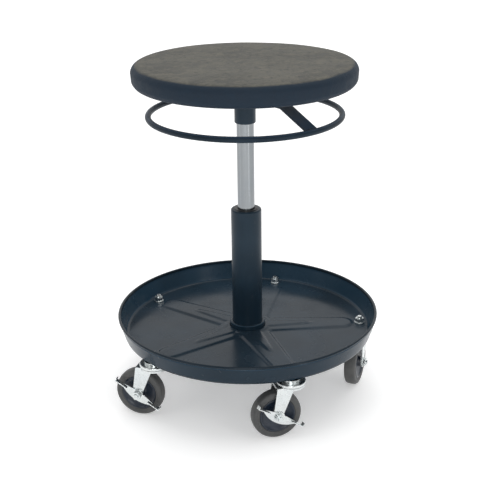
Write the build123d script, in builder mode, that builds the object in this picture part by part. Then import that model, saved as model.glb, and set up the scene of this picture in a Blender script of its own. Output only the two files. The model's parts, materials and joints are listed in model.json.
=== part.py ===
from build123d import *
import os
from math import cos, sin, radians, sqrt

# Adjustable swivel stool on five casters with a tray base.
# Millimetres, +Z up, origin on the floor on the column axis, caster 1 on +X.
# The seat is drawn at the top of the gas spring's stroke.

# ---------------------------------------------------------------- driving sizes
# casters
WHEEL_R = 40.0            # 80 mm wheel
TYRE_W = 20.0
RIM_R = 28.8              # tyre sits on the rim at this radius
TRAIL = 25.0              # swivel axis to axle
AXLE_R = 4.0              # M8 axle bolt
PIVOT_R = 191.5           # pitch circle of the five swivel axes
FORK_IN = 12.0            # half gap between the fork legs
FORK_T = 2.5
CROWN_Z0, CROWN_Z1 = 85.6, 88.6
STEM_R = 4.0              # M8 king pin
TRAILS = [247.4, 152.8, 98.0, 161.0, 195.8]   # rest heading of each wheel, degrees
BRAKED = {4: 1, 5: 2}     # casters 4 and 5 carry the foot brakes
LEVER_TILT = 31.0         # rest tilt of the brake levers
LEVER_HALF = 43.0

# tray
TRAY_Z = 98.5             # underside
SHEET = 2.5
TRAY_CORNER_R = 207.0
RIM_OUT_R = 215.4         # centre of the rolled rim
RIM_Z = 132.4
BEAD_ROLL = 2.3
BEAD_H = 2.4              # raised radial beads
HUB_R = 29.5

# column and gas spring
COL_R, COL_IN = 25.0, 23.0
COL_Z0, COL_Z1 = 62.0, 312.5
CYL_R, CYL_IN = 14.0, 12.5
STROKE = 130.0
CYL_Z0 = 226.0
ROD_R = 5.0
RUN = 0.05                # radial running clearance

# release ring and mechanism
RING_R, RING_Z, RING_WIRE = 153.0, 470.0, 4.75
ARM_AZ = 308.8            # heading of the visible arm
ARM_W, ARM_T = 22.0, 4.0
ARM_FLAT_Z = 498.0
PIVOT_S, PIVOT_Z = 22.0, 494.5

# seat
SEAT_R = 177.7
SEAT_Z0, SEAT_Z1 = 518.3, 554.6
BOARD_R, BOARD_T = 124.0, 8.0
PLATE_T = 3.0

Z_UP = (0, 0, 1)
PLATE_Z1 = SEAT_Z0 - BOARD_T          # underside of the board
PLATE_Z0 = PLATE_Z1 - PLATE_T
FLOOR_TOP = TRAY_Z + SHEET

os.makedirs("parts", exist_ok=True)
pieces = []


def circles(shape, r, tol=0.02):
    """Circular edges of one radius."""
    return ShapeList([e for e in shape.edges().filter_by(GeomType.CIRCLE) if abs(e.radius - r) < tol])


def at(sk, x, y, tol=0.2):
    """Sketch vertices near one point."""
    return ShapeList([v for v in sk.vertices() if abs(v.X - x) < tol and abs(v.Y - y) < tol])


def keep(builder, label):
    builder.part.label = label
    export_step(builder.part, f"parts/{label}.step")
    pieces.append(label)


# ================================================================ base
# pressed tray: flat floor, flared wall, rolled rim, five raised radial beads
with BuildPart() as tray:
    with BuildSketch(Plane.XZ) as sk:
        with BuildLine():
            Polyline((HUB_R, TRAY_Z), (TRAY_CORNER_R, TRAY_Z), (216.4, 132.0), (213.9, 132.8),
                     (204.8, FLOOR_TOP), (HUB_R, FLOOR_TOP), close=True)
        make_face()
        fillet(at(sk, TRAY_CORNER_R, TRAY_Z), 8.5)
        fillet(at(sk, 204.8, FLOOR_TOP), 6.0)
        with Locations((RIM_OUT_R, RIM_Z)):
            Circle(BEAD_ROLL)
    revolve(axis=Axis.Z)
    for z, mode in ((FLOOR_TOP, Mode.ADD), (TRAY_Z, Mode.SUBTRACT)):
        with BuildSketch(Plane.XY.offset(z)):
            with PolarLocations(0, 5):
                Polygon((20, -28.0), (160, -20.5), (160, 20.5), (20, 28.0), align=None)
            with PolarLocations(160, 5):
                Circle(20.5)
            Circle(46)
        extrude(amount=BEAD_H, taper=45, mode=mode)
    with BuildSketch(Plane.XY.offset(FLOOR_TOP + BEAD_H)):
        with PolarLocations(0, 5):
            Polygon((20, -14), (104, -5.5), (110, 0), (104, 5.5), (20, 14), align=None)
        Circle(37)
    extrude(amount=1.6, taper=42)
    with Locations((0, 0, TRAY_Z)):
        Hole(HUB_R)
    with Locations((0, 0, FLOOR_TOP)):
        with PolarLocations(PIVOT_R, 5):
            Hole(STEM_R)
keep(tray, "base_tray")

# welded hub: sleeve with a flange under the tray
with BuildPart() as hub:
    with BuildSketch(Plane.XZ) as sk:
        with BuildLine():
            Polyline((COL_R, 56), (29.5, 56), (HUB_R, 94.5), (62, 94.5), (62, TRAY_Z), (HUB_R, TRAY_Z),
                     (HUB_R, 113), (COL_R, 113), close=True)
        make_face()
        fillet(at(sk, HUB_R, 113), 2.0)
        fillet(at(sk, HUB_R, 94.5), 3.0)
    revolve(axis=Axis.Z)
keep(hub, "base_hub")

# outer column tube with a rolled shoulder
with BuildPart() as column:
    with BuildSketch(Plane.XZ) as sk:
        with BuildLine():
            Polyline((COL_IN, COL_Z0), (COL_R, COL_Z0), (COL_R, COL_Z1), (19.0, COL_Z1), (19.0, COL_Z1 - 2),
                     (COL_IN, COL_Z1 - 2), close=True)
        make_face()
        fillet(at(sk, COL_R, COL_Z1), 2.6)
    revolve(axis=Axis.Z)
keep(column, "column_tube")

with BuildPart() as bottom_plate:
    with BuildSketch(Plane.XY.offset(COL_Z0)):
        Circle(COL_IN)
        Circle(4.3, mode=Mode.SUBTRACT)
    extrude(amount=4)
keep(bottom_plate, "column_bottom_plate")

# plastic guide bush that the gas cylinder slides in
with BuildPart() as bush:
    with BuildSketch(Plane.XZ) as sk:
        with BuildLine():
            Polyline((CYL_R + RUN, 206), (COL_IN, 206), (COL_IN, COL_Z1 - 2), (19.0, COL_Z1 - 2),
                     (19.0, COL_Z1 + 0.8), (CYL_R + RUN, COL_Z1 + 0.8), close=True)
        make_face()
        chamfer(at(sk, CYL_R + RUN, COL_Z1 + 0.8), 0.6)
        chamfer(at(sk, CYL_R + RUN, 206), 1.5)
    revolve(axis=Axis.Z)
keep(bush, "guide_bush")

# thrust bearing at the foot of the piston rod
with BuildPart() as lower_washer:
    with BuildSketch(Plane.XY.offset(66)):
        Circle(14)
        Circle(4.3, mode=Mode.SUBTRACT)
    extrude(amount=1.5)
keep(lower_washer, "thrust_washer_lower")

with BuildPart() as cage:
    with BuildSketch(Plane.XY.offset(68.5)):
        Circle(13)
        Circle(5.2, mode=Mode.SUBTRACT)
        with PolarLocations(9.2, 8):
            Circle(2.05, mode=Mode.SUBTRACT)
    extrude(amount=2.0)
keep(cage, "thrust_ball_cage")

with BuildPart() as balls:
    with Locations((0, 0, 69.5)):
        with PolarLocations(9.2, 8):
            Sphere(2.0)
keep(balls, "thrust_balls")

with BuildPart() as upper_washer:
    with BuildSketch(Plane.XY.offset(71.55)):
        Circle(14)
        Circle(4.0, mode=Mode.SUBTRACT)
    extrude(amount=1.45)
keep(upper_washer, "thrust_washer_upper")

# piston rod: stepped foot through the bearing, thin neck for the piston
with BuildPart() as rod:
    with BuildSketch(Plane.XZ) as sk:
        with BuildLine():
            Polyline((0, 56), (3.4, 56), (4, 56.8), (4, 59.6), (3.2, 59.6), (3.2, 60.9), (4, 60.9), (4, 73), (ROD_R, 73),
                     (ROD_R, 250), (3, 250), (3, 264), (0, 264), close=True)
        make_face()
    revolve(axis=Axis.Z)
keep(rod, "piston_rod")

with BuildPart() as clip:
    with BuildSketch(Plane.XY.offset(59.7)):
        Circle(8)
        Circle(3.2, mode=Mode.SUBTRACT)
        with Locations((6, 0)):
            Rectangle(8, 4.4, mode=Mode.SUBTRACT)
    extrude(amount=1.1)
keep(clip, "rod_retaining_clip")

with BuildPart() as bump:
    with BuildSketch(Plane.XZ) as sk:
        with BuildLine():
            Polyline((ROD_R, 80), (11, 80), (11, 86), (9.5, 88), (11, 90), (11, CYL_Z0 - STROKE - 0.3),
                     (ROD_R, CYL_Z0 - STROKE - 0.3), close=True)
        make_face()
    revolve(axis=Axis.Z)
keep(bump, "bump_stop")

with BuildPart() as piston:
    with BuildSketch(Plane.XZ) as sk:
        with BuildLine():
            Polyline((3, 250.2), (CYL_IN - RUN, 250.2), (CYL_IN - RUN, 254), (11.2, 254), (11.2, 257), (CYL_IN - RUN, 257),
                     (CYL_IN - RUN, 261), (3, 261), close=True)
        make_face()
    revolve(axis=Axis.Z)
keep(piston, "piston")

# ================================================================ lifting assembly
# gas cylinder: straight tube, closed taper at the top
with BuildPart() as cylinder:
    with BuildSketch(Plane.XZ) as sk:
        with BuildLine():
            Polyline((CYL_IN, CYL_Z0), (CYL_R, CYL_Z0), (CYL_R, 459), (13.1, 489), (11.0, 489), (11.0, 446), (CYL_IN, 446),
                     close=True)
        make_face()
        chamfer(at(sk, CYL_R, CYL_Z0), 0.8)
    revolve(axis=Axis.Z)
keep(cylinder, "gas_cylinder")

with BuildPart() as gland:
    with BuildSketch(Plane.XY.offset(CYL_Z0 + 1)):
        Circle(CYL_IN)
        Circle(ROD_R + RUN, mode=Mode.SUBTRACT)
    extrude(amount=18)
    fillet(circles(gland, CYL_IN).sort_by(Axis.Z)[-1], 0.8)
keep(gland, "cylinder_gland")

with BuildPart() as valve_body:
    with BuildSketch(Plane.XZ):
        with BuildLine():
            Polyline((0, 448), (11.0, 448), (11.0, 488.6), (2.5 + RUN, 488.6), (2.5 + RUN, 464), (0, 464), close=True)
        make_face()
    revolve(axis=Axis.Z)
keep(valve_body, "valve_body")

VALVE_TOP = ARM_FLAT_Z - ARM_T / 2 - 0.3
with BuildPart() as valve_pin:
    with BuildSketch(Plane.XY.offset(470)):
        Circle(2.5)
    extrude(amount=VALVE_TOP - 470)
    fillet(circles(valve_pin, 2.5).sort_by(Axis.Z)[-1], 1.2)
keep(valve_pin, "valve_pin")

# black tapered socket that the cylinder plugs into
with BuildPart() as socket:
    with BuildSketch(Plane.XZ) as sk:
        with BuildLine():
            Polyline((CYL_R, 456.3), (17, 456.3), (17, 489), (13.1, 489), (CYL_R, 459), close=True)
        make_face()
        fillet(at(sk, 17, 456.3), 1.5)
    revolve(axis=Axis.Z)
keep(socket, "gas_spring_socket")

# mechanism frame: s runs along the arms, t across them
s_dir = Vector(cos(radians(ARM_AZ)), sin(radians(ARM_AZ)), 0)
t_dir = Vector(-sin(radians(ARM_AZ)), cos(radians(ARM_AZ)), 0)
MECH = Plane(origin=(0, 0, 0), x_dir=s_dir, z_dir=Z_UP)
SIDE = Plane(origin=(0, 0, 0), x_dir=s_dir, z_dir=t_dir * -1)

# pressed channel: web round the socket, two cheeks, outward feet under the plate
with BuildPart() as bracket:
    with BuildSketch(MECH.offset(486)):
        RectangleRounded(64, 38, 3)
    extrude(amount=3)
    for side in (1, -1):
        with BuildSketch(Plane(origin=t_dir * (side * 17.5), x_dir=s_dir, z_dir=t_dir * -1)):
            with BuildLine():
                Polyline((-32, 486), (32, 486), (32, PLATE_Z0), (-32, PLATE_Z0), close=True)
            make_face()
        extrude(amount=1.5, both=True)
        with BuildSketch(MECH.offset(PLATE_Z0 - 2.5)):
            with Locations((0, side * 24)):
                Rectangle(64, 13)
        extrude(amount=2.5)
    with BuildSketch(MECH.offset(480)):
        Circle(17)
    extrude(amount=12, mode=Mode.SUBTRACT)
    with BuildSketch(SIDE):
        with Locations((PIVOT_S, PIVOT_Z)):
            Circle(3.0)
    extrude(amount=40, both=True, mode=Mode.SUBTRACT)
keep(bracket, "mechanism_bracket")

# mounting plate between the bracket and the seat board
with BuildPart() as plate:
    with BuildSketch(MECH.offset(PLATE_Z0)):
        RectangleRounded(150, 150, 12)
        with GridLocations(122, 122, 2, 2):
            Circle(3.1, mode=Mode.SUBTRACT)
        RectangleRounded(34, 16, 4, mode=Mode.SUBTRACT)
    extrude(amount=PLATE_T)
keep(plate, "mounting_plate")

# release ring: round bar hoop
with BuildPart() as ring:
    with BuildSketch(Plane.XZ):
        with Locations((RING_R, RING_Z)):
            Circle(RING_WIRE)
    revolve(axis=Axis.Z)
keep(ring, "release_ring")

# one bent flat bar carries the hoop on both sides and rocks on the pivot pin
slope_run = (ARM_FLAT_Z - RING_Z) / 0.4663
with BuildPart() as crossbar:
    with BuildSketch(SIDE) as sk:
        with BuildLine():
            x0, xb = RING_R, RING_R - slope_run
            h = ARM_T / 2
            dz = h / cos(radians(25))
            Polyline((-x0, RING_Z + dz), (-xb, ARM_FLAT_Z + h), (xb, ARM_FLAT_Z + h), (x0, RING_Z + dz),
                     (x0, RING_Z - dz), (xb - 0.9, ARM_FLAT_Z - h), (-xb + 0.9, ARM_FLAT_Z - h), (-x0, RING_Z - dz), close=True)
        make_face()
        for sx in (1, -1):
            fillet(at(sk, sx * xb, ARM_FLAT_Z + h), 10)
            fillet(at(sk, sx * (xb - 0.9), ARM_FLAT_Z - h), 7)
    extrude(amount=ARM_W / 2, both=True)
    with BuildSketch(SIDE):
        with Locations((PIVOT_S, PIVOT_Z)):
            Circle(4.6)
    extrude(amount=ARM_W / 2, both=True)
    with BuildSketch(SIDE):
        with Locations((PIVOT_S, PIVOT_Z)):
            Circle(3.0 + RUN)
    extrude(amount=20, both=True, mode=Mode.SUBTRACT)
    with BuildSketch(Plane.XZ):
        with Locations((RING_R, RING_Z)):
            Circle(RING_WIRE)
    revolve(axis=Axis.Z, mode=Mode.SUBTRACT)
    solids = crossbar.part.solids().sort_by(SortBy.VOLUME)
crossbar_solid = solids[-1]
with BuildPart() as crossbar_clean:
    add(crossbar_solid)
keep(crossbar_clean, "ring_crossbar")

with BuildPart() as pivot_pin:
    with BuildSketch(Plane(origin=s_dir * PIVOT_S + Vector(0, 0, PIVOT_Z) + t_dir * -21, x_dir=s_dir, z_dir=t_dir)):
        Circle(3.0)
    extrude(amount=42)
    with BuildSketch(Plane(origin=s_dir * PIVOT_S + Vector(0, 0, PIVOT_Z) + t_dir * 19.2, x_dir=s_dir, z_dir=t_dir)):
        Circle(4.5)
    extrude(amount=1.8)
keep(pivot_pin, "ring_pivot_pin")

# seat: plywood board, tee nuts, screws, moulded pad
with BuildPart() as board:
    with BuildSketch(Plane.XY.offset(PLATE_Z1)):
        Circle(BOARD_R)
    extrude(amount=BOARD_T)
    chamfer(circles(board, BOARD_R).sort_by(Axis.Z)[0], 1.5)
    with BuildSketch(MECH.offset(PLATE_Z1)):
        with GridLocations(122, 122, 2, 2):
            Circle(4.2)
    extrude(amount=BOARD_T, mode=Mode.SUBTRACT)
    with BuildSketch(MECH.offset(SEAT_Z0 - 1.2)):
        with GridLocations(122, 122, 2, 2):
            Circle(9.0)
    extrude(amount=1.2, mode=Mode.SUBTRACT)
keep(board, "seat_board")

with BuildPart() as tee_nuts:
    with BuildSketch(MECH.offset(PLATE_Z1 + 0.5)):
        with GridLocations(122, 122, 2, 2):
            Circle(4.2)
            Circle(3.0, mode=Mode.SUBTRACT)
    extrude(amount=BOARD_T - 0.5)
    with BuildSketch(MECH.offset(SEAT_Z0 - 1.2)):
        with GridLocations(122, 122, 2, 2):
            Circle(9.0)
            Circle(3.0, mode=Mode.SUBTRACT)
    extrude(amount=1.2)
keep(tee_nuts, "seat_tee_nuts")

with BuildPart() as screws:
    with BuildSketch(MECH.offset(PLATE_Z0)):
        with GridLocations(122, 122, 2, 2):
            Circle(3.0)
    extrude(amount=PLATE_T + BOARD_T - 0.4)
    with BuildSketch(MECH.offset(PLATE_Z0 - 4)):
        with GridLocations(122, 122, 2, 2):
            RegularPolygon(5.0, 6, major_radius=False)
    extrude(amount=4)
keep(screws, "seat_screws")

with BuildPart() as pad:
    with BuildSketch(Plane.XZ) as sk:
        with BuildLine():
            Polyline((0, SEAT_Z0), (SEAT_R, SEAT_Z0), (SEAT_R, SEAT_Z1), (0, SEAT_Z1), close=True)
        make_face()
        fillet(at(sk, SEAT_R, SEAT_Z0), 14)
        fillet(at(sk, SEAT_R, SEAT_Z1), 12)
    revolve(axis=Axis.Z)
keep(pad, "seat_pad")

# ================================================================ casters
# parts fixed to the tray, one group of five each
pivots = [Vector(PIVOT_R * cos(radians(72 * i)), PIVOT_R * sin(radians(72 * i)), 0) for i in range(5)]

PIVOT_XZ = Plane(origin=(PIVOT_R, 0, 0), x_dir=(1, 0, 0), z_dir=(0, -1, 0))

with BuildPart() as stems:
    with BuildSketch(PIVOT_XZ):
        with BuildLine():
            Polyline((0, 81.4), (9, 81.4), (9, 84.9), (STEM_R, 84.9), (STEM_R, 112.2), (3.2, 113), (0, 113), close=True)
        make_face()
    revolve(axis=Axis((PIVOT_R, 0, 0), (0, 0, 1)))
stem_one = stems.part
with BuildPart() as stems_all:
    with PolarLocations(0, 5):
        add(stem_one)
keep(stems_all, "caster_king_pins")

with BuildPart() as cups:
    with BuildSketch(PIVOT_XZ):
        with BuildLine():
            Polyline((STEM_R, 92.3), (21.0, 92.3), (21.0, 89.9), (23.5, 89.9), (23.5, 94.3), (15.5, 94.3), (15.5, TRAY_Z),
                     (STEM_R, TRAY_Z), close=True)
        make_face()
    revolve(axis=Axis((PIVOT_R, 0, 0), (0, 0, 1)))
    fillet(circles(cups, 23.5).sort_by(Axis.Z)[-1], 1.6)
cup_one = cups.part
with BuildPart() as cups_all:
    with PolarLocations(0, 5):
        add(cup_one)
keep(cups_all, "caster_race_cups")

with BuildPart() as race_balls:
    for p in pivots:
        with Locations(p + Vector(0, 0, 90.47)):
            with PolarLocations(18.4, 10):
                Sphere(1.78)
keep(race_balls, "caster_race_balls")

with BuildPart() as washers:
    with BuildSketch(Plane.XY.offset(FLOOR_TOP)):
        with PolarLocations(PIVOT_R, 5):
            Circle(8.5)
            Circle(STEM_R, mode=Mode.SUBTRACT)
    extrude(amount=1.6)
keep(washers, "caster_washers")

with BuildPart() as nuts:
    with BuildSketch(Plane.XY.offset(FLOOR_TOP + 1.6)):
        with PolarLocations(PIVOT_R, 5):
            RegularPolygon(6.5, 6, major_radius=False)
            Circle(STEM_R, mode=Mode.SUBTRACT)
    extrude(amount=6.4)
    for p in pivots:
        with BuildSketch(Plane(origin=p + Vector(0, 0, FLOOR_TOP + 8.0), x_dir=(1, 0, 0), z_dir=(0, 0, 1))):
            Circle(6.0)
            Circle(STEM_R, mode=Mode.SUBTRACT)
        extrude(amount=0.8)
keep(nuts, "caster_nuts")

# five swivelling forks with their wheels
for i in range(5):
    n = i + 1
    a = radians(TRAILS[i])
    u = Vector(cos(a), sin(a), 0)          # from the swivel axis towards the axle
    w = Vector(-sin(a), cos(a), 0)         # along the axle
    p = pivots[i]
    axle = p + u * TRAIL + Vector(0, 0, WHEEL_R)
    TOP = Plane(origin=p, x_dir=u, z_dir=Z_UP)
    AX = Plane(origin=axle, x_dir=u, z_dir=w)

    # fork: round crown drawn into two legs
    with BuildPart() as fork:
        with BuildSketch(TOP.offset(CROWN_Z0)):
            Circle(22.5)
            with Locations((12.5, 0)):
                RectangleRounded(29, 2 * (FORK_IN + FORK_T), 3)
        extrude(amount=CROWN_Z1 - CROWN_Z0)
        for y in (FORK_IN + FORK_T, -FORK_IN):
            with BuildSketch(Plane(origin=p + w * y, x_dir=u, z_dir=w * -1)) as leg:
                with BuildLine():
                    Polyline((-2, CROWN_Z1 - 0.5), (27, CROWN_Z1 - 0.5), (TRAIL + 8.4, WHEEL_R + 4), (TRAIL - 8.4, WHEEL_R + 4),
                             close=True)
                make_face()
                with Locations((TRAIL, WHEEL_R)):
                    Circle(9.2)
            extrude(amount=FORK_T)
        with BuildSketch(TOP.offset(CROWN_Z0 - 10)):
            Circle(5.2)
        extrude(amount=20, mode=Mode.SUBTRACT)
        with BuildSketch(AX):
            Circle(AXLE_R)
        extrude(amount=30, both=True, mode=Mode.SUBTRACT)
    keep(fork, f"caster_fork_{n}")

    # tyre: moulded ring with rounded shoulders
    with BuildPart() as tyre:
        with BuildSketch(AX.offset(-TYRE_W / 2)):
            Circle(WHEEL_R)
            Circle(RIM_R, mode=Mode.SUBTRACT)
        extrude(amount=TYRE_W)
        fillet(circles(tyre, WHEEL_R), 5.0)
    keep(tyre, f"caster_tyre_{n}")

    # hub: rim, thin web, boss
    with BuildPart() as wheel:
        with BuildSketch(AX.offset(-TYRE_W / 2 + 0.6)):
            Circle(RIM_R)
            Circle(26.4, mode=Mode.SUBTRACT)
        extrude(amount=TYRE_W - 1.2)
        with BuildSketch(AX.offset(-5)):
            Circle(27)
        extrude(amount=10)
        with BuildSketch(AX.offset(-FORK_IN + 0.3)):
            Circle(8.5)
        extrude(amount=2 * FORK_IN - 0.6)
        with BuildSketch(AX.offset(-FORK_IN)):
            Circle(AXLE_R + RUN)
        extrude(amount=2 * FORK_IN, mode=Mode.SUBTRACT)
    keep(wheel, f"caster_hub_{n}")

    # axle bolt with its nut: longer where it also carries a brake lever
    out = FORK_IN + FORK_T
    nut_at = out + (2.6 if n in BRAKED else 0.0)
    with BuildPart() as bolt:
        with BuildSketch(AX.offset(-out - 5.0)):
            RegularPolygon(6.5, 6, major_radius=False)
        extrude(amount=5.0)
        with BuildSketch(AX.offset(-out)):
            Circle(AXLE_R)
        extrude(amount=out + nut_at + 7.5)
    keep(bolt, f"axle_bolt_{n}")
    with BuildPart() as lock_nut:
        with BuildSketch(AX.offset(nut_at)):
            RegularPolygon(6.5, 6, major_radius=False)
            Circle(AXLE_R, mode=Mode.SUBTRACT)
        extrude(amount=5.0)
    keep(lock_nut, f"axle_nut_{n}")

    # foot brake: two-winged stamped lever that rocks on the axle bolt
    if n in BRAKED:
        b = radians(LEVER_TILT)
        lx = u * cos(b) + Vector(0, 0, 1) * sin(b)
        ly = Vector(0, 0, 1) * cos(b) - u * sin(b)
        inner = out + 0.3
        LEV = Plane(origin=axle + w * inner, x_dir=lx, z_dir=w)
        flip = 1 if (LEV.y_dir.Z > 0) else -1       # sketch y that points upwards
        with BuildPart() as lever:
            # leaf-shaped plate: deep at the bolt, narrow necks out to the feet
            with BuildSketch(LEV):
                with BuildLine():
                    Line((-LEVER_HALF, flip * 3.4), (LEVER_HALF, flip * 3.4))
                    Line((LEVER_HALF, flip * 3.4), (LEVER_HALF, flip * 0.6))
                    Line((LEVER_HALF, flip * 0.6), (30, flip * 0.2))
                    ThreePointArc((30, flip * 0.2), (0, flip * -9.8), (-30, flip * 0.2))
                    Line((-30, flip * 0.2), (-LEVER_HALF, flip * 0.6))
                    Line((-LEVER_HALF, flip * 0.6), (-LEVER_HALF, flip * 3.4))
                make_face()
                with BuildLine():
                    Line((-32, flip * 3.0), (32, flip * 3.0))
                    Line((32, flip * 3.0), (11, flip * 6.0))
                    Line((11, flip * 6.0), (-11, flip * 6.0))
                    Line((-11, flip * 6.0), (-32, flip * 3.0))
                make_face()
                Circle(9.4)
            extrude(amount=2.0)
            # foot ledges folded outward from the necks
            with BuildSketch(LEV):
                with Locations((-(LEVER_HALF + 20) / 2, flip * 2.5), ((LEVER_HALF + 20) / 2, flip * 2.5)):
                    Rectangle(LEVER_HALF - 20, 1.8)
            extrude(amount=8.0)
            # upturned lips at both tips
            for e in (1, -1):
                with BuildSketch(LEV):
                    with Locations((e * (LEVER_HALF - 0.9), flip * 4.4)):
                        Rectangle(1.8, 5.6)
                extrude(amount=8.0)
            with BuildSketch(LEV.offset(-5)):
                Circle(AXLE_R + RUN)
            extrude(amount=30, mode=Mode.SUBTRACT)
        keep(lever, f"brake_lever_{BRAKED[n]}")

print(len(pieces), "pieces written")
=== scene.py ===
import bpy, bmesh, json, math
from mathutils import Vector, Matrix, noise


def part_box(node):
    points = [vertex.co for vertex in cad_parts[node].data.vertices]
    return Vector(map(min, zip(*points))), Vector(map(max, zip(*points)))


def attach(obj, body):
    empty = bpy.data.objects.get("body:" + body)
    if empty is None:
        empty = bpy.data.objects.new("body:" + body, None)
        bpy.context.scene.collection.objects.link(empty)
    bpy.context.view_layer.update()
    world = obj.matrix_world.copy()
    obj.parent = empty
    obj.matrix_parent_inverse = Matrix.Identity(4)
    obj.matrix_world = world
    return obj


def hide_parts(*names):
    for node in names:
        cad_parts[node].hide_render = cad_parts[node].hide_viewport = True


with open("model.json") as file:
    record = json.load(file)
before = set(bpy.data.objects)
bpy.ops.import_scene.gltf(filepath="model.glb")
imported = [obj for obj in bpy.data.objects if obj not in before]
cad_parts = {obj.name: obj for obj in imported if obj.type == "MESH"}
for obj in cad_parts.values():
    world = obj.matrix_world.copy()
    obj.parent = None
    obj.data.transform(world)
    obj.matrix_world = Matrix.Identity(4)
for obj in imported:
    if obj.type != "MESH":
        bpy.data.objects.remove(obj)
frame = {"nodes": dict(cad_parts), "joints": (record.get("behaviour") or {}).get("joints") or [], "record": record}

NODES, JOINTS = frame["nodes"], {j["name"]: j for j in frame["joints"]}
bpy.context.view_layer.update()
scene = bpy.context.scene
scene.view_settings.view_transform = "Standard"

# ------------------------------------------------------------------ camera
TURN = math.radians(-2.17)


def make_camera():
    pitch, yaw, roll = map(math.radians, (21.09, -0.24, -0.78))
    fwd = Vector((math.sin(yaw) * math.cos(pitch), math.cos(yaw) * math.cos(pitch), -math.sin(pitch)))
    right = fwd.cross(Vector((0, 0, 1))).normalized()
    up = right.cross(fwd)
    r2 = right * math.cos(roll) + up * math.sin(roll)
    u2 = -right * math.sin(roll) + up * math.cos(roll)
    pos = Vector((0, -1.6154, 0.8754))
    rz = Matrix.Rotation(TURN, 3, "Z")
    m = Matrix((rz @ r2, rz @ u2, rz @ -fwd)).transposed().to_4x4()
    m.translation = rz @ pos
    cam = bpy.data.cameras.new("camera")
    cam.sensor_width = 36
    cam.lens = 1047.3 * 36 / 485
    ob = bpy.data.objects.new("camera", cam)
    scene.collection.objects.link(ob)
    ob.matrix_world = m
    scene.camera = ob


make_camera()


# ------------------------------------------------------------------ node helpers
class Tree:
    """Short way to wire a material."""

    def __init__(self, name):
        self.mat = bpy.data.materials.new(name)
        self.mat.use_nodes = True
        self.t = self.mat.node_tree
        self.t.nodes.clear()
        self.out = self.t.nodes.new("ShaderNodeOutputMaterial")
        self.b = self.t.nodes.new("ShaderNodeBsdfPrincipled")
        self.t.links.new(self.b.outputs[0], self.out.inputs[0])
        self.co = self.t.nodes.new("ShaderNodeTexCoord").outputs["Object"]

    def link(self, a, b):
        self.t.links.new(a, b)

    def put(self, sock, v):
        if hasattr(v, "is_output"):
            self.link(v, sock)
        else:
            sock.default_value = v

    def set(self, **kw):
        for k, v in kw.items():
            self.put(self.b.inputs[k.replace("_", " ")], v)

    def scaled(self, x=1.0, y=1.0, z=1.0, co=None, rot=(0, 0, 0), loc=(0, 0, 0)):
        n = self.t.nodes.new("ShaderNodeMapping")
        n.inputs["Scale"].default_value = (x, y, z)
        n.inputs["Rotation"].default_value = rot
        n.inputs["Location"].default_value = loc
        self.link(co or self.co, n.inputs["Vector"])
        return n.outputs[0]

    def noise(self, scale, detail=4.0, rough=0.55, co=None, distortion=0.0):
        n = self.t.nodes.new("ShaderNodeTexNoise")
        n.inputs["Scale"].default_value = scale
        n.inputs["Detail"].default_value = detail
        n.inputs["Roughness"].default_value = rough
        n.inputs["Distortion"].default_value = distortion
        self.link(co or self.co, n.inputs["Vector"])
        return n.outputs["Fac"]

    def voronoi(self, scale, co=None, feature="F1", out="Distance", rand=1.0):
        n = self.t.nodes.new("ShaderNodeTexVoronoi")
        n.feature = feature
        n.inputs["Scale"].default_value = scale
        n.inputs["Randomness"].default_value = rand
        self.link(co or self.co, n.inputs["Vector"])
        return n.outputs[out]

    def ramp(self, fac, *stops):
        n = self.t.nodes.new("ShaderNodeValToRGB")
        e = n.color_ramp.elements
        while len(e) < len(stops):
            e.new(0.5)
        for s, (p, c) in zip(e, stops):
            s.position = p
            s.color = (*c, 1) if isinstance(c, (tuple, list)) else (c, c, c, 1)
        self.put(n.inputs["Fac"], fac)
        return n.outputs["Color"]

    def math(self, op, a, b=0.0, c=None, clamp=False):
        n = self.t.nodes.new("ShaderNodeMath")
        n.operation = op
        n.use_clamp = clamp
        self.put(n.inputs[0], a)
        self.put(n.inputs[1], b)
        if c is not None:
            self.put(n.inputs[2], c)
        return n.outputs[0]

    def mix(self, fac, a, b, blend="MIX"):
        n = self.t.nodes.new("ShaderNodeMix")
        n.data_type = "RGBA"
        n.blend_type = blend
        self.put(n.inputs[0], fac)
        for s, v in ((n.inputs[6], a), (n.inputs[7], b)):
            self.put(s, (*v, 1) if isinstance(v, (tuple, list)) and len(v) == 3 else v)
        return n.outputs[2]

    def xyz(self, co=None):
        n = self.t.nodes.new("ShaderNodeSeparateXYZ")
        self.link(co or self.co, n.inputs[0])
        return n.outputs

    def normal_z(self):
        g = self.t.nodes.new("ShaderNodeTexCoord")
        n = self.t.nodes.new("ShaderNodeSeparateXYZ")
        self.link(g.outputs["Normal"], n.inputs[0])
        return n.outputs[2]

    def remap(self, v, a, b, c=0.0, d=1.0):
        n = self.t.nodes.new("ShaderNodeMapRange")
        n.interpolation_type = "SMOOTHSTEP"
        self.put(n.inputs["Value"], v)
        for k, x in (("From Min", a), ("From Max", b), ("To Min", c), ("To Max", d)):
            n.inputs[k].default_value = x
        return n.outputs[0]

    def bump(self, *layers):
        """layers: (height, strength, distance)"""
        prev = None
        for h, s, d in layers:
            n = self.t.nodes.new("ShaderNodeBump")
            n.inputs["Strength"].default_value = s
            n.inputs["Distance"].default_value = d
            self.link(h, n.inputs["Height"])
            if prev:
                self.link(prev, n.inputs["Normal"])
            prev = n.outputs[0]
        self.link(prev, self.b.inputs["Normal"])


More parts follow.
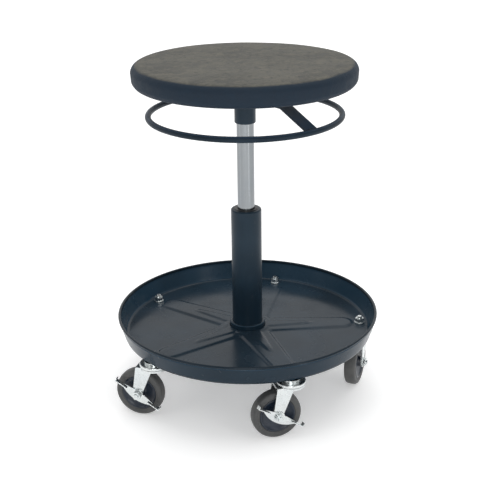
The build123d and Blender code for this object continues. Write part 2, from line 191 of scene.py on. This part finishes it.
def m_enamel(name, base, rough, peel=0.06, dust_and_top_light=0.0, scuff=0.25, spec=0.24, painted_wall_shading=None, upward_painted_light=None):
    """Sprayed black enamel: orange peel, faint scuffs, and a pale film on up-facing faces that is partly dusty and
    partly painted top light.
    wall: painted light and shade on a flared tray: how much paler its sloping inside is painted, as if lit, and how
    much darker its downward-facing outside is painted, as shade; the top of the rolled rim is painted darker too.
    flat: a paler colour painted on faces that look up, standing in for the light they catch."""
    t = Tree(name)
    big = t.noise(9, 3)
    fine = t.noise(420, 3)
    scr = t.noise(60, 6, 0.7, co=t.scaled(1, 7, 1, rot=(0, 0, 0.5)))
    scr2 = t.noise(75, 6, 0.7, co=t.scaled(6, 1, 1, rot=(0, 0, 1.1)))
    scratches = t.math("MULTIPLY", t.remap(scr, 0.62, 0.70), t.remap(scr2, 0.40, 0.62))
    col = t.mix(t.remap(big, 0.3, 0.7), [c * 0.8 for c in base], [c * 1.25 for c in base])
    nz = t.normal_z()
    if painted_wall_shading:
        z = t.xyz()[2]
        # painted light on the sloping inside of the flare, painted shade on its downward-facing outside
        painted_inner_light_mask = t.math("MULTIPLY", t.remap(nz, 0.05, 0.20), t.remap(nz, 0.55, 0.80, 1, 0))
        painted_inner_light_mask = t.math("MULTIPLY", painted_inner_light_mask, t.remap(z, 0.1290, 0.1308, 1, 0))     # stops below the rolled rim
        col = t.mix(painted_inner_light_mask, col, [c * painted_wall_shading[0] for c in base])
        col = t.mix(t.remap(nz, -0.45, -0.10, 1, 0), col, [c * painted_wall_shading[1] for c in base])
        # painted shade: the top of the rolled rim is darkened to 0.65 of the base
        col = t.mix(t.remap(z, 0.1300, 0.1312), col, [c * 0.65 for c in base])
    # painted light: faces that look up take a paler colour
    if upward_painted_light:
        col = t.mix(t.remap(nz, 0.55, 0.85), col, upward_painted_light)
    col = t.mix(t.math("MULTIPLY", scratches, scuff), col, (0.10, 0.10, 0.10))
    # a pale film on up-facing faces, partly dust and partly painted top light
    if dust_and_top_light:
        up = t.remap(t.normal_z(), 0.75, 0.98)
        d = t.math("MULTIPLY", up, t.remap(t.noise(14, 7, 0.62), 0.25, 0.8, 0.55, 1.0))
        col = t.mix(t.math("MULTIPLY", d, dust_and_top_light), col, (0.16, 0.155, 0.145))
    r = t.math("ADD", rough, t.remap(t.noise(16, 5), 0.3, 0.75, -0.05, 0.10))
    r = t.math("ADD", r, t.math("MULTIPLY", scratches, 0.18))
    t.set(Base_Color=col, Roughness=r, Metallic=0.0)
    t.b.inputs["Specular IOR Level"].default_value = spec
    t.bump((fine, peel, 0.0004), (scr, 0.03, 0.0004))
    return t.mat


def m_metal(name, base, rough, streak=(1, 1, 1), warm=(0.95, 0.97, 1.0), spangle=0.0, var=0.10, bump=0.05):
    t = Tree(name)
    st = t.noise(55, 7, 0.65, co=t.scaled(*streak))
    big = t.noise(24, 4)
    col = t.mix(t.remap(big, 0.3, 0.72), base, [base[i] * warm[i] * 0.93 for i in range(3)])
    col = t.mix(t.remap(st, 0.35, 0.75, 0, 0.5), col, [c * 0.84 for c in base])
    r = t.math("ADD", rough, t.remap(st, 0.3, 0.75, -var * 0.5, var))
    if spangle:
        v = t.voronoi(230, out="Color")
        g = t.t.nodes.new("ShaderNodeRGBToBW")
        t.link(v, g.inputs[0])
        r = t.math("ADD", r, t.math("MULTIPLY", g.outputs[0], spangle))
        col = t.mix(t.math("MULTIPLY", g.outputs[0], 0.35), col, [c * 0.86 for c in base])
    t.set(Base_Color=col, Roughness=r, Metallic=1.0)
    t.bump((st, bump, 0.0003), (t.noise(500, 2), bump * 0.6, 0.0002))
    return t.mat


def m_plastic(name, base, rough, grain=300, g=0.12):
    t = Tree(name)
    big = t.noise(20, 4)
    col = t.mix(t.remap(big, 0.3, 0.72), [c * 0.75 for c in base], [c * 1.3 for c in base])
    r = t.math("ADD", rough, t.remap(t.noise(60, 5), 0.3, 0.7, -0.06, 0.10))
    t.set(Base_Color=col, Roughness=r)
    t.bump((t.noise(grain, 3), g, 0.0004), (t.noise(70, 3), g * 0.4, 0.0005))
    return t.mat


def m_tyre(name):
    t = Tree(name)
    big = t.noise(40, 6, 0.6)
    sp = t.noise(900, 3)
    col = t.mix(t.remap(big, 0.3, 0.72), (0.054, 0.056, 0.057), (0.088, 0.089, 0.087))
    col = t.mix(t.remap(sp, 0.60, 0.78, 0, 0.4), col, (0.15, 0.148, 0.142))
    t.set(Base_Color=col, Roughness=t.remap(big, 0.2, 0.8, 0.40, 0.60))
    t.b.inputs["Specular IOR Level"].default_value = 0.4
    t.bump((sp, 0.25, 0.0004), (t.noise(160, 4), 0.25, 0.0005))
    return t.mat


def m_wood(name):
    t = Tree(name)
    co = t.scaled(1, 14, 60)
    g1 = t.noise(16, 6, 0.6, co=co, distortion=0.6)
    g2 = t.noise(90, 4, 0.6, co=t.scaled(1, 10, 1))
    z = t.xyz()[2]
    ply = t.math("FRACT", t.math("MULTIPLY", z, 1 / 0.0016))
    col = t.ramp(g1, (0.25, (0.30, 0.19, 0.10)), (0.5, (0.45, 0.31, 0.18)), (0.75, (0.58, 0.43, 0.27)))
    col = t.mix(t.remap(g2, 0.5, 0.75, 0, 0.5), col, (0.25, 0.15, 0.08))
    side = t.remap(t.math("ABSOLUTE", t.normal_z()), 0.2, 0.6, 1, 0)
    col = t.mix(t.math("MULTIPLY", side, t.remap(ply, 0.4, 0.6, 0.0, 0.55)), col, (0.16, 0.09, 0.05))
    t.set(Base_Color=col, Roughness=t.remap(g1, 0.2, 0.8, 0.55, 0.8))
    t.bump((g2, 0.2, 0.0004))
    return t.mat


def m_pad(name):
    """Integral-skin polyurethane: fine pebble, soft clouding; the top painted as a lit warm grey and the sides as a
    shaded dark navy, painted light and shade on one skin.
    """
    t = Tree(name)
    cloud = t.noise(9, 6, 0.6)
    mott = t.noise(75, 5, 0.7, distortion=0.5)
    fine = t.noise(210, 4, 0.65)
    up = t.remap(t.math("ADD", t.normal_z(), t.math("MULTIPLY", t.math("SUBTRACT", t.noise(26, 5), 0.5), 0.16)), 0.80, 0.985)
    # painted light and shade: a dark navy for the sides, a warm grey lit copy for the top
    side = t.mix(t.remap(mott, 0.3, 0.7), (0.0056, 0.0150, 0.0285), (0.0082, 0.0195, 0.0345))
    top = t.mix(t.remap(cloud, 0.30, 0.70), (0.034, 0.034, 0.028), (0.078, 0.075, 0.060))
    top = t.mix(t.remap(mott, 0.40, 0.66, 0, 0.75), top, (0.125, 0.118, 0.094))
    top = t.mix(t.remap(t.noise(95, 5, 0.72, distortion=0.4), 0.52, 0.68, 0, 0.75), top, (0.018, 0.021, 0.022))
    top = t.mix(t.remap(fine, 0.50, 0.75, 0, 0.40), top, (0.130, 0.122, 0.100))
    # painted top light: the mask that gives up-facing skin the lit top colour
    painted_top_light = t.math("MULTIPLY", up, t.remap(t.noise(30, 5, 0.6), 0.2, 0.55, 0.82, 1.0))
    t.set(Base_Color=t.mix(painted_top_light, side, top), Roughness=t.math("ADD", t.remap(mott, 0.3, 0.7, 0.50, 0.62), t.remap(up, 0, 1, 0.12, 0.06)))
    t.b.inputs["Specular IOR Level"].default_value = 0.25
    peb = t.voronoi(620, feature="SMOOTH_F1")
    t.bump((peb, 0.35, 0.0005), (fine, 0.35, 0.0006), (mott, 0.40, 0.0012))
    return t.mat


NAVY = (0.0105, 0.0250, 0.0405)
M = {
    # tray enamel: painted top light on the floor, painted light and shade on the walls and rim
    "gloss_black": m_enamel("tray_enamel", NAVY, 0.22, dust_and_top_light=0.055, spec=0.19, painted_wall_shading=(1.9, 0.8)),
    "satin_black": m_enamel("column_enamel", NAVY, 0.34, peel=0.10, scuff=0.3, spec=0.21),
    # ring enamel: a paler colour painted on up-facing faces as light
    "ring_black": m_enamel("ring_enamel", (0.0095, 0.0195, 0.0310), 0.46, peel=0.05, scuff=0.4, spec=0.14, upward_painted_light=(0.038, 0.062, 0.098)),
    "cylinder_chrome": m_metal("cylinder_steel", (0.265, 0.28, 0.29), 0.13, streak=(6, 6, 0.25), var=0.08),
    "zinc": m_metal("zinc_plate", (0.735, 0.765, 0.76), 0.20, spangle=0.08, var=0.10),
    "plain_steel": m_metal("turned_steel", (0.55, 0.55, 0.56), 0.25, streak=(1, 1, 12)),
    "piston_alloy": m_metal("alloy", (0.62, 0.62, 0.64), 0.35, streak=(1, 1, 9)),
    "bush_plastic": m_plastic("bush_plastic", (0.012, 0.013, 0.015), 0.42),
    "bump_rubber": m_plastic("bump_rubber", (0.015, 0.015, 0.015), 0.75, 500, 0.3),
    "board_wood": m_wood("plywood"),
    "pad_skin": m_pad("pad_skin"),
    "hub_plastic": m_plastic("hub_plastic", (0.0100, 0.0170, 0.0300), 0.32, 350, 0.08),
    "tyre_rubber": m_tyre("tyre_rubber"),
}
SLOT = {s["node"]: s["material_slot"] for s in frame["record"]["subparts"]}
for name, ob in NODES.items():
    ob.data.materials.clear()
    ob.data.materials.append(M[SLOT[name]])

# ------------------------------------------------------------------ seat pad
def lathe(name, profile, seg=192, close=False):
    """Turns (r, z) points round Z. A point at r = 0 makes a pole."""
    bm = bmesh.new()
    rows = []
    for r, z in profile:
        if r < 1e-6:
            rows.append([bm.verts.new((0, 0, z))])
        else:
            rows.append([bm.verts.new((r * math.cos(2 * math.pi * k / seg), r * math.sin(2 * math.pi * k / seg), z)) for k in range(seg)])
    pairs = list(zip(rows, rows[1:])) + ([(rows[-1], rows[0])] if close else [])
    for a, b in pairs:
        for k in range(seg):
            j = (k + 1) % seg
            q = [a[k % len(a)], a[j % len(a)], b[j % len(b)], b[k % len(b)]]
            f = []
            for v in q:
                if v not in f:
                    f.append(v)
            if len(f) > 2:
                bm.faces.new(f)
    bmesh.ops.recalc_face_normals(bm, faces=bm.faces)
    me = bpy.data.meshes.new(name)
    bm.to_mesh(me)
    bm.free()
    for p in me.polygons:
        p.use_smooth = True
    ob = bpy.data.objects.new(name, me)
    scene.collection.objects.link(ob)
    return ob


def arc(cx, cz, r, a0, a1, n):
    return [(cx + r * math.cos(math.radians(a0 + (a1 - a0) * i / n)), cz + r * math.sin(math.radians(a0 + (a1 - a0) * i / n))) for i in range(n + 1)]


lo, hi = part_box("seat_pad")
R, Z0, Z1 = hi.x, lo.z, hi.z
prof = [(0, Z0 + 0.0004), (0.06, Z0 + 0.0004), (0.12, Z0 + 0.0004), (0.152, Z0 + 0.0004)]
prof += arc(R - 0.0145, Z0 + 0.0143, 0.0143, -90, -18, 12)
prof += arc(R - 0.0128, Z1 - 0.0146, 0.0128, 6, 84, 18)
prof += [(R - 0.0165, Z1 - 0.00145), (R - 0.026, Z1 - 0.0011), (R - 0.036, Z1 - 0.0009)]
for k in range(9, -1, -1):
    r = (R - 0.045) * k / 9
    prof.append((r, Z1 - 0.0008 + 0.0004 * (1 - (r / (R - 0.045)) ** 2)))
pad = lathe("seat_cushion", prof)
for v in pad.data.vertices:          # slight unevenness of a moulded foam part
    if v.co.z > Z0 + 0.004:
        w = noise.noise(v.co * 14) * 0.0004 + noise.noise(v.co * 5 + Vector((3, 1, 7))) * 0.0005
        v.co.z += w
        s = 1 + noise.noise(v.co * 9) * 0.0015 - 0.001
        v.co.x *= s
        v.co.y *= s
pad.data.materials.append(M["pad_skin"])
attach(pad, "seat")
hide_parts("seat_pad")

# ------------------------------------------------------------------ pressed tray
def smooth(a, b, x):
    t = min(1.0, max(0.0, (x - a) / (b - a)))
    return t * t * (3 - 2 * t)


def rib_height(x, y):
    """Height in mm that the pressing raises the tray floor at a point, in mm."""
    r = math.hypot(x, y)
    h_out = 1 - smooth(43, 49, r)
    h_in = 1 - smooth(34, 40, r)
    for k in range(5):
        a = math.radians(72 * k)
        s, t = x * math.cos(a) + y * math.sin(a), abs(-x * math.sin(a) + y * math.cos(a))
        if s < 10:
            continue
        half = 28.0 + (s - 20) * (20.5 - 28.0) / 140
        if s > 160:
            d = math.hypot(s - 160, t) - 20.5
        else:
            d = t - half
        h_out = max(h_out, 1 - smooth(-6.0, 1.2, d))
        half = 14.5 + (s - 20) * (5.5 - 14.5) / 84
        ridge = (1 - smooth(-4.6, 1.2, t - max(half, 2.0))) * (1 - smooth(88, 116, s))
        h_in = max(h_in, ridge)
    return 2.4 * h_out + 1.6 * h_in


def make_tray():
    z_top, z_bot, t_in = 101.0, 98.5, 6.0
    prof = []                                     # r, z, share of rib height
    rs = [29.5 + (200.0 - 29.5) * i / 92 for i in range(93)]
    for r in rs:
        prof.append((r, z_top, 1.0))

    def corner(cx, cz, tx, tz, rad):              # fillet between the floor and the wall that leaves towards (tx, tz)
        w = math.atan2(tz - cz, tx - cx)
        tan_len = rad * math.tan((math.pi - (math.pi - w)) / 2)
        x0, ox, oz = cx - tan_len, cx - tan_len, cz + rad
        return [(ox + rad * math.sin(w * i / 8), oz - rad * math.cos(w * i / 8), 0.0) for i in range(1, 9)]

    prof += corner(204.8, z_top, 213.9, 132.8, t_in)
    x0, z0, _ = prof[-1]
    for i in range(1, 7):
        prof.append((x0 + (213.35 - x0) * i / 6, z0 + (130.9 - z0) * i / 6, 0.0))
    for i in range(0, 17):                        # rolled rim
        a = math.radians(205 - 285 * i / 16)
        prof.append((215.4 + 2.3 * math.cos(a), 132.4 + 2.3 * math.sin(a), 0.0))
    out = corner(207.0, z_bot, 216.4, 132.0, 8.5)
    x1, z1, _ = out[-1]
    for i in range(0, 7):
        prof.append((215.9 + (x1 - 215.9) * i / 7, 130.1 + (z1 - 130.1) * i / 7, 0.0))
    prof += out[::-1]
    for r in rs[::-1]:
        prof.append((r, z_bot, 1.0))
    seg = 720
    bm = bmesh.new()
    rows = []
    for r, z, share in prof:
        row = []
        for k in range(seg):
            a = 2 * math.pi * k / seg
            x, y = r * math.cos(a), r * math.sin(a)
            dz = share * rib_height(x, y) if share and r < 196 else 0.0
            row.append(bm.verts.new((x / 1000, y / 1000, (z + dz) / 1000)))
        rows.append(row)
    for a, b in zip(rows, rows[1:] + rows[:1]):
        for k in range(seg):
            j = (k + 1) % seg
            bm.faces.new((a[k], a[j], b[j], b[k]))
    bmesh.ops.recalc_face_normals(bm, faces=bm.faces)
    me = bpy.data.meshes.new("tray_pressing")
    bm.to_mesh(me)
    bm.free()
    for p in me.polygons:
        p.use_smooth = True
    ob = bpy.data.objects.new("tray_pressing", me)
    scene.collection.objects.link(ob)
    ob.data.materials.append(M["gloss_black"])
    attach(ob, "root")
    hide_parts("base_tray")


make_tray()


# ------------------------------------------------------------------ stamped and turned parts with broken edges
BODY = {n: b for b, ns in frame["record"]["behaviour"]["bodies"].items() for n in ns}


def softened(node, width, seg=2, angle=32):
    """Copy of a CAD piece with rounded edges, as tumbled and plated steel has them."""
    bm = bmesh.new()
    bm.from_mesh(NODES[node].data)
    bmesh.ops.remove_doubles(bm, verts=bm.verts, dist=2e-6)
    bmesh.ops.dissolve_limit(bm, angle_limit=math.radians(1.0), verts=bm.verts, edges=bm.edges)
    me = bpy.data.meshes.new(node + "_finished")
    bm.to_mesh(me)
    bm.free()
    for p in me.polygons:
        p.use_smooth = True
    ob = bpy.data.objects.new(node + "_finished", me)
    scene.collection.objects.link(ob)
    ob.data.materials.clear()
    ob.data.materials.append(M[SLOT[node]])
    b = ob.modifiers.new("edge", "BEVEL")
    b.width, b.segments, b.limit_method, b.angle_limit = width, seg, "ANGLE", math.radians(angle)
    b.use_clamp_overlap = True
    wn = ob.modifiers.new("flats", "WEIGHTED_NORMAL")
    wn.mode, wn.weight, wn.keep_sharp = "FACE_AREA", 100, False
    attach(ob, BODY[node])
    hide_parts(node)
    return ob


for node, w in [("caster_race_cups", 0.0007), ("caster_washers", 0.0004), ("caster_nuts", 0.0006),
                ("mounting_plate", 0.0008), ("mechanism_bracket", 0.0006), ("seat_screws", 0.0005),
                ("ring_crossbar", 0.0009), ("base_hub", 0.0006), ("seat_board", 0.001)] + \
        [(f"caster_fork_{n}", 0.0008) for n in range(1, 6)] + [(f"axle_bolt_{n}", 0.0005) for n in range(1, 6)] + \
        [(f"axle_nut_{n}", 0.0005) for n in range(1, 6)] + [("brake_lever_1", 0.0006), ("brake_lever_2", 0.0006)]:
    softened(node, w)


# ------------------------------------------------------------------ weld beads where the flat bar meets the ring
def bead(name, pts, radius, body, seed):
    """Closed rippled bead along points, tapering to a pole at each end."""
    bm = bmesh.new()
    n, seg, rings = len(pts), 12, []
    for i, p in enumerate(pts):
        f = i / (n - 1)
        t = (pts[min(i + 1, n - 1)] - pts[max(i - 1, 0)]).normalized()
        a = t.cross(Vector((0, 0, 1))).normalized()
        b = a.cross(t)
        r = radius * math.sqrt(max(0.0, 1 - (2 * f - 1) ** 6)) * (1 + 0.10 * math.sin(i * 1.6) + 0.10 * noise.noise(Vector((i * 0.7, seed, 0))))
        if i in (0, n - 1):
            rings.append([bm.verts.new(p)])
        else:
            rings.append([bm.verts.new(p + a * r * math.cos(2 * math.pi * k / seg) + b * r * math.sin(2 * math.pi * k / seg)) for k in range(seg)])
    for A, B in zip(rings, rings[1:]):
        for k in range(seg):
            q = []
            for v in (A[k % len(A)], A[(k + 1) % len(A)], B[(k + 1) % len(B)], B[k % len(B)]):
                if v not in q:
                    q.append(v)
            bm.faces.new(q)
    bmesh.ops.recalc_face_normals(bm, faces=bm.faces)
    me = bpy.data.meshes.new(name)
    bm.to_mesh(me)
    bm.free()
    for f in me.polygons:
        f.use_smooth = True
    ob = bpy.data.objects.new(name, me)
    scene.collection.objects.link(ob)
    ob.data.materials.append(M["ring_black"])
    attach(ob, body)
    return ob


lo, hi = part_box("release_ring")
RING_R, RING_Z = (hi.x - lo.x) / 2 - 0.00475, (hi.z + lo.z) / 2
for k, az in enumerate((308.8, 128.8)):
    pts = []
    for i in range(25):
        a = math.radians(az - 4.3 + 8.6 * i / 24)
        pts.append(Vector(((RING_R - 0.0040) * math.cos(a), (RING_R - 0.0040) * math.sin(a), RING_Z + 0.0034)))
    bead(f"ring_weld_{k + 1}", pts, 0.0021, "ring", 3 * k)

# ------------------------------------------------------------------ wheels
def wheel_frame(n):
    j = JOINTS[f"wheel_roll_{n}"]
    w = Vector(j["axis"]).normalized()
    u = w.cross(Vector((0, 0, 1)))
    m = Matrix((u, Vector((0, 0, 1)), w)).transposed().to_4x4()      # lathe axis Z becomes the axle
    # keep it right-handed
    if m.to_3x3().determinant() < 0:
        m = Matrix((u, -Vector((0, 0, 1)), w)).transposed().to_4x4()
    m.translation = Vector(j["pos_m"])
    return m


def mirrored(half):
    """Half profile from the outer radius inwards on +z, closed by its mirror image."""
    return half + [(r, -z) for r, z in half[::-1]]


R40, W10, RIM = 0.040, 0.010, 0.0288
tyre_half = [(R40, 0.0), (R40 - 0.00008, 0.0026), (R40 - 0.0003, 0.0048)]
tyre_half += [(x, z) for x, z in [(R40 - 0.0051 + 0.0048 * math.cos(math.radians(a)), 0.0049 + 0.0048 * math.sin(math.radians(a))) for a in range(12, 85, 9)]]
tyre_half += [(0.0340, 0.00985), (0.0330, 0.00975), (0.0327, 0.0094), (0.0319, 0.0094), (0.0316, 0.00965), (0.0304, 0.0095), (0.0296, 0.0090), (RIM, 0.0082)]
hub_half = [(RIM, 0.0), (RIM, 0.0086), (0.0284, 0.0092), (0.0277, 0.0094), (0.0268, 0.0093), (0.0261, 0.0088), (0.0253, 0.0080), (0.0230, 0.0067),
            (0.0195, 0.0057), (0.0160, 0.0051), (0.0130, 0.0050), (0.0112, 0.0053), (0.0099, 0.0061), (0.0091, 0.0074), (0.0088, 0.0092),
            (0.0086, 0.0112), (0.0082, 0.0116), (0.0041, 0.0116)]
for n in range(1, 6):
    m = wheel_frame(n)
    t = lathe(f"tyre_{n}", mirrored(tyre_half)[:-1], 128, close=True)
    t.data.transform(m)
    bmw = bmesh.new(); bmw.from_mesh(t.data); bmesh.ops.remove_doubles(bmw, verts=bmw.verts, dist=1e-6)
    bmesh.ops.recalc_face_normals(bmw, faces=bmw.faces); bmw.to_mesh(t.data); bmw.free()
    t.data.materials.append(M["tyre_rubber"])
    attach(t, f"wheel_{n}")
    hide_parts(f"caster_tyre_{n}")
    h = lathe(f"wheel_centre_{n}", mirrored(hub_half)[:-1], 96, close=True)
    h.data.transform(m)
    bmw = bmesh.new(); bmw.from_mesh(h.data); bmesh.ops.remove_doubles(bmw, verts=bmw.verts, dist=1e-6)
    bmesh.ops.recalc_face_normals(bmw, faces=bmw.faces); bmw.to_mesh(h.data); bmw.free()
    h.data.materials.append(M["hub_plastic"])
    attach(h, f"wheel_{n}")
    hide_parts(f"caster_hub_{n}")

# ------------------------------------------------------------------ studio
def m_floor():
    t = Tree("floor")
    n = t.noise(2, 4)
    t.set(Base_Color=t.mix(n, (0.90, 0.90, 0.90), (0.93, 0.93, 0.93)), Roughness=0.65)
    t.b.inputs["Specular IOR Level"].default_value = 0.1
    # painted light: the floor glows, emission rising from 0.32 near the stool to 0.62 far out, lifting the shadow
    # under the stool and lighting its underside
    t.b.inputs["Emission Color"].default_value = (1, 1, 1, 1)
    x = t.xyz()
    far = t.math("SQRT", t.math("ADD", t.math("POWER", x[0], 2), t.math("POWER", x[1], 2)))
    t.set(Emission_Strength=t.remap(far, 0.5, 5.0, 0.32, 0.62))
    return t.mat


bpy.ops.mesh.primitive_plane_add(size=60)
floor = bpy.context.object
floor.name = "floor"
floor.data.materials.append(m_floor())


def area(name, pos, target, size, energy, color=(1, 1, 1), sy=None):
    l = bpy.data.lights.new(name, "AREA")
    l.energy, l.size, l.color = energy, size, color
    if sy:
        l.shape, l.size_y = "RECTANGLE", sy
    o = bpy.data.objects.new(name, l)
    scene.collection.objects.link(o)
    o.location = pos
    o.visible_camera = False
    o.rotation_mode = "QUATERNION"
    o.rotation_quaternion = (Vector(target) - Vector(pos)).to_track_quat("-Z", "Y")
    return o


area("top", (0.2, 0.5, 3.2), (0, 0, 0.3), 3.0, 43)
area("left", (-2.4, -1.4, 2.2), (0, 0, 0.3), 1.2, 7.5)
area("strip", (1.35, -1.62, 1.25), (0, 0, 0.4), 0.26, 4.5, sy=1.5)
area("glint_right", (0.62, -0.74, 0.26), (0, 0, 0.40), 0.07, 0.22, sy=0.5)
area("glint_left", (-0.89, -0.16, 0.26), (0, 0, 0.40), 0.06, 0.10, sy=0.5)
area("front", (-0.15, -2.5, 1.15), (0, 0, 0.25), 1.0, 15)

world = bpy.data.worlds.new("world")
scene.world = world
world.use_nodes = True
wt = world.node_tree
wt.nodes.clear()
wo = wt.nodes.new("ShaderNodeOutputWorld")
bg = wt.nodes.new("ShaderNodeBackground")
wt.links.new(bg.outputs[0], wo.inputs[0])
wc = wt.nodes.new("ShaderNodeTexCoord")
sx = wt.nodes.new("ShaderNodeSeparateXYZ")
wt.links.new(wc.outputs["Generated"], sx.inputs[0])
wr = wt.nodes.new("ShaderNodeMapRange")
wr.interpolation_type = "SMOOTHSTEP"
wr.inputs["From Min"].default_value = -0.6
wr.inputs["From Max"].default_value = 0.85
wr.inputs["To Min"].default_value = 0.32
wr.inputs["To Max"].default_value = 1.0
wt.links.new(sx.outputs[1], wr.inputs["Value"])
wt.links.new(wr.outputs[0], bg.inputs["Strength"])
bg.inputs["Color"].default_value = (1, 1, 1, 1)
